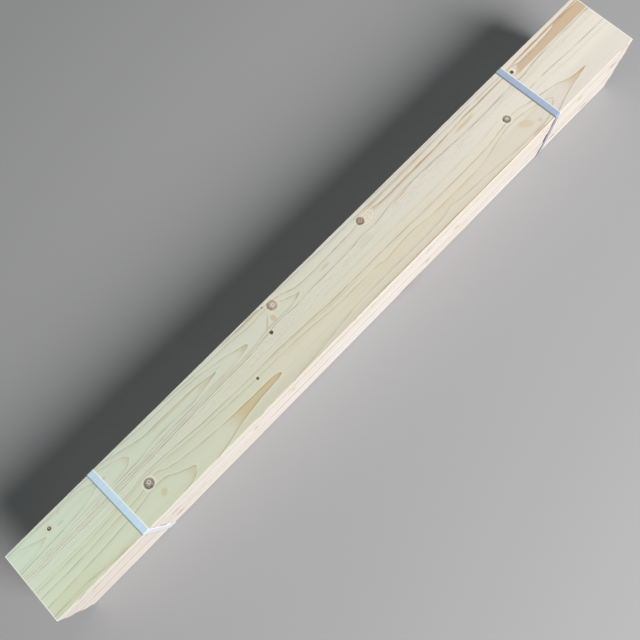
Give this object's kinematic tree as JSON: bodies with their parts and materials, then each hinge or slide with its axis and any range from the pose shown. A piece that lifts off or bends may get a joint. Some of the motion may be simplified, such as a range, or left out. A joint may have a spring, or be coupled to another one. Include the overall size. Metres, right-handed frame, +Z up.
{
  "type": "stack of pine boards",
  "caption": "Flat pile of planed knotty pine boards, bound together by narrow plastic straps, as raw stock for building and joinery.",
  "frame": {"origin": "on the floor under the middle of the stack, at the bottom centre of its box", "axes": "+X along the boards, towards the end that is furthest away in the picture; +Y across their width, away from the side that the picture shows; +Z up"},
  "size_m": [0.91, 0.0916, 0.0962],
  "materials": {
    "pine": "matte",
    "strap": "satin"
  },
  "bodies": {
    "root": {"board_1": "pine", "board_2": "pine", "board_3": "pine", "board_4": "pine", "board_5": "pine", "strap_near": "strap", "strap_far": "strap"}
  },
  "joints": []
}
